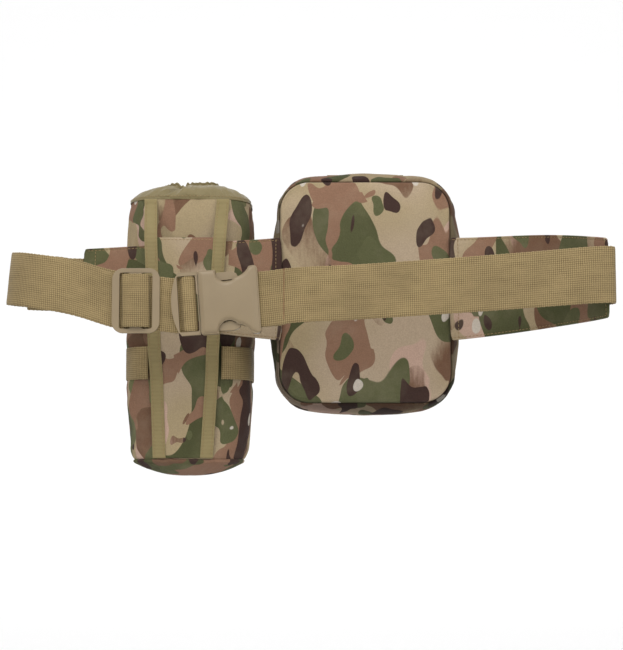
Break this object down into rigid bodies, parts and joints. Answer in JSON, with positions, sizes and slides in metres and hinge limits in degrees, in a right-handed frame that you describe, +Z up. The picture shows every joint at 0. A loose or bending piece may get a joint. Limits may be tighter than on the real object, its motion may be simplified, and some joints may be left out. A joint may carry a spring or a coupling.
{
  "type": "waist pack",
  "caption": "Camouflage waist pack with a zipped pouch, a drawstring bottle pouch and a webbing belt with a side-release buckle.",
  "frame": {"origin": "centre of the main pouch's flat back face, which lies against the wearer", "axes": "-Y points to the wearer, +X to the right wing as the wearer's side is seen, +Z up"},
  "size_m": [0.5558, 0.2553, 0.2983],
  "materials": {
    "camouflage_fabric": "woven polyester with a printed camouflage pattern",
    "khaki_webbing": "ribbed nylon webbing",
    "thin_nylon": "thin plain-weave nylon",
    "foam": "closed-cell foam",
    "khaki_plastic": "moulded acetal, fine matt texture",
    "zip_coil": "nylon coil zip",
    "metal": "dull metal",
    "cord_and_pulls": "braided nylon",
    "lock_plastic": "moulded plastic"
  },
  "bodies": {
    "pack": {"rear_gusset": "camouflage_fabric", "back_panel": "camouflage_fabric", "back_foam": "foam", "back_lining": "thin_nylon", "bottom_hinge_seam": "camouflage_fabric", "zip_teeth_rear": "zip_coil", "left_wing": "camouflage_fabric", "right_wing": "camouflage_fabric", "strap_right": "khaki_webbing", "strap_left_back": "khaki_webbing", "buckle_female": "khaki_plastic"},
    "cover": {"front_gusset": "camouflage_fabric", "front_panel": "camouflage_fabric", "zip_teeth_front": "zip_coil", "pocket_shell": "camouflage_fabric", "pocket_zip": "zip_coil"},
    "slider_left": {"slider_left": "metal"},
    "pull_left": {"pull_left": "cord_and_pulls"},
    "slider_right": {"slider_right": "metal"},
    "pull_right": {"pull_right": "cord_and_pulls"},
    "pocket_slider": {"pocket_slider": "metal"},
    "pocket_pull": {"pocket_pull": "cord_and_pulls"},
    "strap_side": {"strap_left_front": "khaki_webbing", "buckle_male": "khaki_plastic"},
    "prong_upper": {"prong_upper": "khaki_plastic"},
    "prong_lower": {"prong_lower": "khaki_plastic"},
    "tri_glide": {"tri_glide": "khaki_plastic", "tri_glide_webbing": "khaki_webbing"},
    "bottle_pouch": {"bottle_body": "camouflage_fabric", "bottle_base": "camouflage_fabric", "tunnel_panel": "camouflage_fabric", "strip_left": "khaki_webbing", "strip_right": "khaki_webbing", "side_strap": "khaki_webbing", "collar": "thin_nylon", "drawcord": "cord_and_pulls", "lock_barrel": "lock_plastic", "lock_spring": "metal"},
    "lock_button": {"lock_button": "lock_plastic"}
  },
  "joints": [
    {"name": "cover_swing", "type": "hinge", "parent": "pack", "child": "cover", "pos_m": [0, 0.0355, -0.116], "axis": [-1, 0, 0], "range_deg": [0, 75]},
    {"name": "slider_left_run", "type": "slide", "parent": "pack", "child": "slider_left", "axis": [-1, 0, 0], "range_m": [0, 0.032]},
    {"name": "pull_left_flip", "type": "hinge", "parent": "slider_left", "child": "pull_left", "pos_m": [-0.008, 0.0355, 0.1213], "axis": [0, 1, 0], "range_deg": [0, 90]},
    {"name": "slider_right_run", "type": "slide", "parent": "pack", "child": "slider_right", "axis": [1, 0, 0], "range_m": [0, 0.032]},
    {"name": "pull_right_flip", "type": "hinge", "parent": "slider_right", "child": "pull_right", "pos_m": [0.008, 0.0355, 0.1213], "axis": [0, -1, 0], "range_deg": [0, 90]},
    {"name": "pocket_slider_run", "type": "slide", "parent": "cover", "child": "pocket_slider", "axis": [-1, 0, 0], "range_m": [0, 0.088]},
    {"name": "pocket_pull_swing", "type": "hinge", "parent": "pocket_slider", "child": "pocket_pull", "pos_m": [0.044, 0.0918, -0.002], "axis": [1, 0, 0], "range_deg": [0, 80]},
    {"name": "buckle_release", "type": "slide", "parent": "pack", "child": "strap_side", "axis": [-0.9976, 0, -0.0698], "range_m": [0, 0.045]},
    {"name": "prong_upper_squeeze", "type": "hinge", "parent": "strap_side", "child": "prong_upper", "pos_m": [-0.15201, -0.0755, 0.00216], "axis": [0, 1, 0], "range_deg": [0, 6], "stiffness_Nm_per_rad": 0.5},
    {"name": "prong_lower_squeeze", "type": "hinge", "parent": "strap_side", "child": "prong_lower", "pos_m": [-0.14901, -0.0755, -0.04073], "axis": [0, -1, 0], "range_deg": [0, 6], "stiffness_Nm_per_rad": 0.5},
    {"name": "tri_glide_adjust", "type": "slide", "parent": "strap_side", "child": "tri_glide", "axis": [-0.987, 0, 0.1606], "range_m": [-0.008, 0.028]},
    {"name": "bottle_pouch_slide", "type": "slide", "parent": "pack", "child": "bottle_pouch", "axis": [-0.9996, 0, 0.0268], "range_m": [-0.012, 0.035]},
    {"name": "lock_press", "type": "slide", "parent": "bottle_pouch", "child": "lock_button", "axis": [-1, 0, 0], "range_m": [0, 0.003], "stiffness_N_per_m": 300, "deforming": ["lock_spring"]}
  ],
  "couplings": [
    {"joint": "prong_lower_squeeze", "follows": "prong_upper_squeeze", "ratio": 1}
  ]
}
